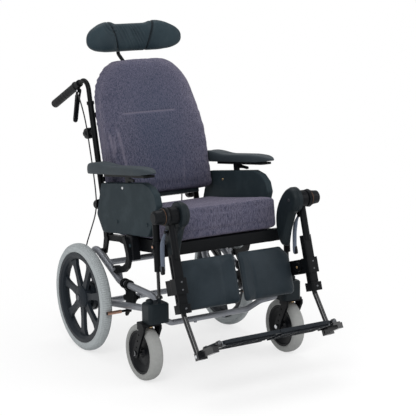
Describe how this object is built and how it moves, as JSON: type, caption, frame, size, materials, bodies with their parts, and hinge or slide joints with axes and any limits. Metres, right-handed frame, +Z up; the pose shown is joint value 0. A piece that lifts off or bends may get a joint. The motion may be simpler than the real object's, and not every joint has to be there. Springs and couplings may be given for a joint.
{
  "type": "tilt in space wheelchair",
  "caption": "Attendant wheelchair with a tilting seat, reclining padded back, winged headrest, side panels, lifting leg rests with calf pads, fold-up footplates and swivelling castors.",
  "frame": {"origin": "centre of the bounding box at floor level, under the seat", "axes": "+Z up; the chair faces -Y; +X is the sitter's left, with the sitter looking along -Y"},
  "size_m": [0.678, 1.2616, 1.197],
  "materials": {
    "grey_frame": "powder coated mid grey",
    "black_plastic": "satin black",
    "black_metal": "powder coated black",
    "dark_metal": "satin dark grey",
    "lock_metal": "copper coloured plating",
    "steel": "bright",
    "velour": "heathered grey purple pile",
    "leatherette": "dark teal black, soft sheen",
    "panel": "dark grey green",
    "arm_foam": "soft dark grey green",
    "wheel_grey": "dark slate grey",
    "tyre_grey": "pale grey",
    "lever_grey": "grey blue",
    "cable": "black"
  },
  "bodies": {
    "chassis": {"chassis_frame": "grey_frame", "castor_housings": "black_plastic", "frame_clamps": "black_metal", "brake_backplates": "dark_metal"},
    "seat": {"seat_frame": "black_metal", "seat_cushion": "velour", "arm_sockets": "black_metal", "knee_covers": "black_plastic", "side_panel_left": "panel", "side_panel_right": "panel", "frame_bolts": "steel"},
    "struts_lower": {"strut_rods": "steel"},
    "struts_upper": {"strut_tubes": "black_metal"},
    "springs_lower": {"spring_rods": "steel"},
    "springs_upper": {"spring_cylinders": "black_metal"},
    "back": {"back_frame": "black_metal", "back_cushion": "velour", "back_shell": "black_plastic", "brake_cables": "cable", "release_cables": "cable"},
    "recline_lower": {"recline_cylinder": "black_metal"},
    "recline_upper": {"recline_rod": "steel"},
    "head_stem": {"headrest_stem": "black_metal"},
    "head_pad": {"headrest_pad": "leatherette"},
    "wheel_left": {"rear_wheel_left": "wheel_grey", "rear_tyre_left": "tyre_grey"},
    "fork_left": {"castor_fork_left": "black_metal"},
    "castor_left": {"castor_hub_left": "black_plastic", "castor_tyre_left": "tyre_grey"},
    "lock_left": {"wheel_lock_left": "lock_metal"},
    "arm_left": {"arm_post_left": "black_metal", "arm_pad_left": "arm_foam"},
    "leg_left": {"leg_hanger_left": "black_metal"},
    "release_left": {"release_lever_left": "lever_grey"},
    "knee_knob_left": {"knee_knob_left": "black_plastic"},
    "calf_left": {"calf_bracket_left": "black_metal", "calf_pad_left": "leatherette"},
    "foot_left": {"foot_tube_left": "black_metal"},
    "plate_left": {"footplate_left": "black_plastic"},
    "push_left": {"push_handle_left": "black_metal"},
    "brake_left": {"brake_lever_left": "black_metal"},
    "handle_knob_left": {"handle_knob_left": "black_plastic"},
    "wheel_right": {"rear_wheel_right": "wheel_grey", "rear_tyre_right": "tyre_grey"},
    "fork_right": {"castor_fork_right": "black_metal"},
    "castor_right": {"castor_hub_right": "black_plastic", "castor_tyre_right": "tyre_grey"},
    "lock_right": {"wheel_lock_right": "lock_metal"},
    "arm_right": {"arm_post_right": "black_metal", "arm_pad_right": "arm_foam"},
    "leg_right": {"leg_hanger_right": "black_metal"},
    "release_right": {"release_lever_right": "lever_grey"},
    "knee_knob_right": {"knee_knob_right": "black_plastic"},
    "calf_right": {"calf_bracket_right": "black_metal", "calf_pad_right": "leatherette"},
    "foot_right": {"foot_tube_right": "black_metal"},
    "plate_right": {"footplate_right": "black_plastic"},
    "push_right": {"push_handle_right": "black_metal"},
    "brake_right": {"brake_lever_right": "black_metal"},
    "handle_knob_right": {"handle_knob_right": "black_plastic"}
  },
  "joints": [
    {"name": "seat_tilt", "type": "hinge", "parent": "chassis", "child": "seat", "pos_m": [0, 0.0484, 0.33], "axis": [-1, 0, 0], "range_deg": [-7, 17]},
    {"name": "strut_swing", "type": "hinge", "parent": "chassis", "child": "struts_lower", "pos_m": [0, -0.2916, 0.3], "axis": [-1, 0, 0], "range_deg": [-5, 11.5]},
    {"name": "strut_reach", "type": "slide", "parent": "struts_lower", "child": "struts_upper", "axis": [0, 0.0617, 0.9981], "range_m": [-0.042, 0.1]},
    {"name": "spring_swing", "type": "hinge", "parent": "chassis", "child": "springs_lower", "pos_m": [0, -0.0016, 0.235], "axis": [-1, 0, 0], "range_deg": [-5, 11.5]},
    {"name": "spring_reach", "type": "slide", "parent": "springs_lower", "child": "springs_upper", "axis": [0, 0.861, 0.5086], "range_m": [-0.019, 0.009]},
    {"name": "back_recline", "type": "hinge", "parent": "seat", "child": "back", "pos_m": [0, 0.2084, 0.448], "axis": [-1, 0, 0], "range_deg": [0, 30], "deforming": ["brake_cables", "release_cables"]},
    {"name": "recline_swing", "type": "hinge", "parent": "seat", "child": "recline_lower", "pos_m": [0, -0.04334, 0.41383], "axis": [-1, 0, 0], "range_deg": [-3.5, 0.5]},
    {"name": "recline_reach", "type": "slide", "parent": "recline_lower", "child": "recline_upper", "axis": [0, 0.994, -0.1092], "range_m": [-0.031, 0.001]},
    {"name": "headrest_height", "type": "slide", "parent": "back", "child": "head_stem", "axis": [0, 0.2385, 0.9711], "range_m": [0, 0.08]},
    {"name": "headrest_tilt", "type": "hinge", "parent": "head_stem", "child": "head_pad", "pos_m": [0, 0.41245, 1.13619], "axis": [-1, 0, 0], "range_deg": [-15, 20]},
    {"name": "wheel_spin_left", "type": "hinge", "parent": "chassis", "child": "wheel_left", "pos_m": [0, 0.2034, 0.2], "axis": [1, 0, 0], "continuous": true},
    {"name": "castor_swivel_left", "type": "hinge", "parent": "chassis", "child": "fork_left", "pos_m": [0.297, -0.2746, 0.24], "axis": [0, 0, 1], "continuous": true},
    {"name": "castor_spin_left", "type": "hinge", "parent": "fork_left", "child": "castor_left", "pos_m": [0, -0.2326, 0.1], "axis": [1, 0, 0], "continuous": true},
    {"name": "wheel_lock_left", "type": "hinge", "parent": "chassis", "child": "lock_left", "pos_m": [0, -0.0466, 0.24], "axis": [-1, 0, 0], "range_deg": [0, 35]},
    {"name": "armrest_height_left", "type": "slide", "parent": "seat", "child": "arm_left", "axis": [0, 0.1219, 0.9925], "range_m": [0, 0.07]},
    {"name": "legrest_lift_left", "type": "hinge", "parent": "seat", "child": "leg_left", "pos_m": [0, -0.3746, 0.6], "axis": [-1, 0, 0], "range_deg": [0, 75]},
    {"name": "legrest_release_left", "type": "hinge", "parent": "leg_left", "child": "release_left", "pos_m": [0, -0.36053, 0.54341], "axis": [-1, 0, 0], "range_deg": [0, 10]},
    {"name": "knee_knob_turn_left", "type": "hinge", "parent": "seat", "child": "knee_knob_left", "pos_m": [0, -0.3746, 0.6], "axis": [1, 0, 0], "range_deg": [-180, 180]},
    {"name": "calf_height_left", "type": "slide", "parent": "leg_left", "child": "calf_left", "axis": [0, 0.2924, 0.9563], "range_m": [-0.03, 0.01]},
    {"name": "foot_length_left", "type": "slide", "parent": "leg_left", "child": "foot_left", "axis": [0, -0.2924, -0.9563], "range_m": [0, 0.06]},
    {"name": "footplate_flip_left", "type": "hinge", "parent": "foot_left", "child": "plate_left", "pos_m": [0.232, -0.56979, 0.19482], "axis": [0, 0.8988, -0.4384], "range_deg": [0, 90]},
    {"name": "handle_height_left", "type": "slide", "parent": "back", "child": "push_left", "axis": [0, 0.2385, 0.9711], "range_m": [0, 0.08]},
    {"name": "brake_squeeze_left", "type": "hinge", "parent": "push_left", "child": "brake_left", "pos_m": [0, 0.41335, 0.93997], "axis": [1, 0, 0], "range_deg": [0, 14], "stiffness_Nm_per_rad": 0.5},
    {"name": "handle_knob_turn_left", "type": "hinge", "parent": "back", "child": "handle_knob_left", "pos_m": [0.2, 0.3137, 0.79284], "axis": [0, 0.9711, -0.2385], "range_deg": [-180, 180]},
    {"name": "wheel_spin_right", "type": "hinge", "parent": "chassis", "child": "wheel_right", "pos_m": [0, 0.2034, 0.2], "axis": [1, 0, 0], "continuous": true},
    {"name": "castor_swivel_right", "type": "hinge", "parent": "chassis", "child": "fork_right", "pos_m": [-0.297, -0.2746, 0.24], "axis": [0, 0, 1], "continuous": true},
    {"name": "castor_spin_right", "type": "hinge", "parent": "fork_right", "child": "castor_right", "pos_m": [0, -0.2326, 0.1], "axis": [1, 0, 0], "continuous": true},
    {"name": "wheel_lock_right", "type": "hinge", "parent": "chassis", "child": "lock_right", "pos_m": [0, -0.0466, 0.24], "axis": [-1, 0, 0], "range_deg": [0, 35]},
    {"name": "armrest_height_right", "type": "slide", "parent": "seat", "child": "arm_right", "axis": [0, 0.1219, 0.9925], "range_m": [0, 0.07]},
    {"name": "legrest_lift_right", "type": "hinge", "parent": "seat", "child": "leg_right", "pos_m": [0, -0.3746, 0.6], "axis": [-1, 0, 0], "range_deg": [0, 75]},
    {"name": "legrest_release_right", "type": "hinge", "parent": "leg_right", "child": "release_right", "pos_m": [0, -0.36053, 0.54341], "axis": [-1, 0, 0], "range_deg": [0, 10]},
    {"name": "knee_knob_turn_right", "type": "hinge", "parent": "seat", "child": "knee_knob_right", "pos_m": [0, -0.3746, 0.6], "axis": [1, 0, 0], "range_deg": [-180, 180]},
    {"name": "calf_height_right", "type": "slide", "parent": "leg_right", "child": "calf_right", "axis": [0, 0.2924, 0.9563], "range_m": [-0.03, 0.01]},
    {"name": "foot_length_right", "type": "slide", "parent": "leg_right", "child": "foot_right", "axis": [0, -0.2924, -0.9563], "range_m": [0, 0.06]},
    {"name": "footplate_flip_right", "type": "hinge", "parent": "foot_right", "child": "plate_right", "pos_m": [-0.232, -0.56979, 0.19482], "axis": [0, -0.8988, 0.4384], "range_deg": [0, 90]},
    {"name": "handle_height_right", "type": "slide", "parent": "back", "child": "push_right", "axis": [0, 0.2385, 0.9711], "range_m": [0, 0.08]},
    {"name": "brake_squeeze_right", "type": "hinge", "parent": "push_right", "child": "brake_right", "pos_m": [0, 0.41335, 0.93997], "axis": [1, 0, 0], "range_deg": [0, 14], "stiffness_Nm_per_rad": 0.5},
    {"name": "handle_knob_turn_right", "type": "hinge", "parent": "back", "child": "handle_knob_right", "pos_m": [-0.2, 0.3137, 0.79284], "axis": [0, 0.9711, -0.2385], "range_deg": [-180, 180]}
  ],
  "couplings": [
    {"joint": "strut_swing", "follows": "seat_tilt", "ratio": 0.6595},
    {"joint": "strut_reach", "follows": "seat_tilt", "m_per_rad": 0.33425},
    {"joint": "spring_swing", "follows": "seat_tilt", "ratio": 0.6399},
    {"joint": "spring_reach", "follows": "seat_tilt", "m_per_rad": -0.06125},
    {"joint": "recline_swing", "follows": "back_recline", "ratio": -0.0977},
    {"joint": "recline_reach", "follows": "back_recline", "m_per_rad": -0.05707}
  ]
}
